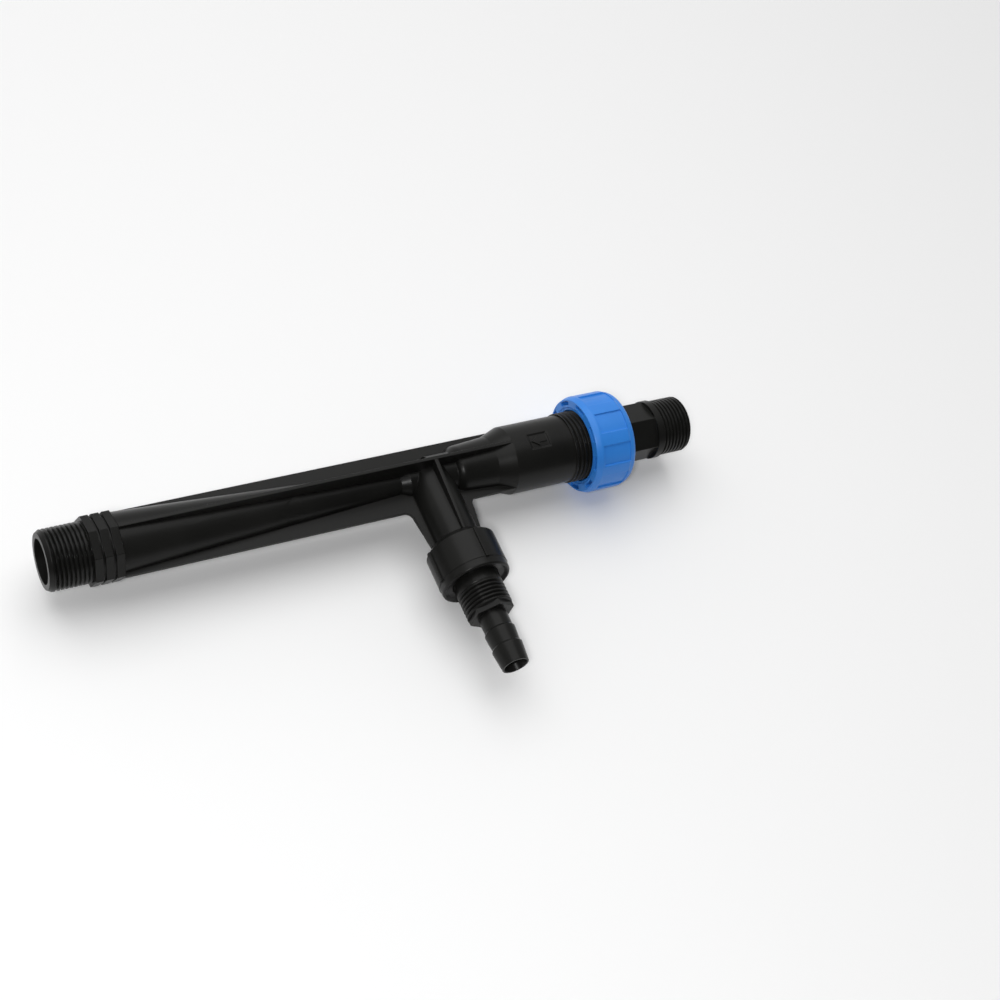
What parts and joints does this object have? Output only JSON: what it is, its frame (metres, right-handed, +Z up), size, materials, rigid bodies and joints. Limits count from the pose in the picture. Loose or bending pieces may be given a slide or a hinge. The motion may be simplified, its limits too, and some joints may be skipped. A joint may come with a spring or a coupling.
{
  "type": "venturi fertilizer injector",
  "caption": "Ribbed plastic venturi injector with threaded pipe ends, a blue union nut at the inlet and a suction branch ending in a check valve cup and a hose barb",
  "frame": {"origin": "on the outlet thread's axis, at the shoulder behind that thread", "axes": "+X along the flow axis towards the inlet, -Y along the suction branch, +Z up as it lies on a bench"},
  "size_m": [0.3, 0.1186, 0.0442],
  "materials": {
    "body_plastic": "satin black moulding",
    "nut_plastic": "satin bright blue moulding",
    "nipple_plastic": "satin black moulding",
    "barb_plastic": "satin black moulding",
    "nozzle_plastic": "natural white moulding",
    "seal_rubber": "black seal rubber",
    "valve_steel": "stainless steel"
  },
  "bodies": {
    "injector": {"injector_body": "body_plastic", "union_nut": "nut_plastic", "inlet_nipple": "nipple_plastic", "hose_barb": "barb_plastic", "jet_nozzle": "nozzle_plastic", "nozzle_o_ring": "seal_rubber", "union_o_ring": "seal_rubber", "check_seat": "seal_rubber", "check_spring": "valve_steel"},
    "ball": {"check_ball": "valve_steel"}
  },
  "joints": [
    {"name": "check_ball_slide", "type": "slide", "parent": "injector", "child": "ball", "axis": [0, 1, 0], "range_m": [0, 0.004], "stiffness_N_per_m": 60, "springref_m": -0.002, "deforming": ["check_spring"]}
  ]
}
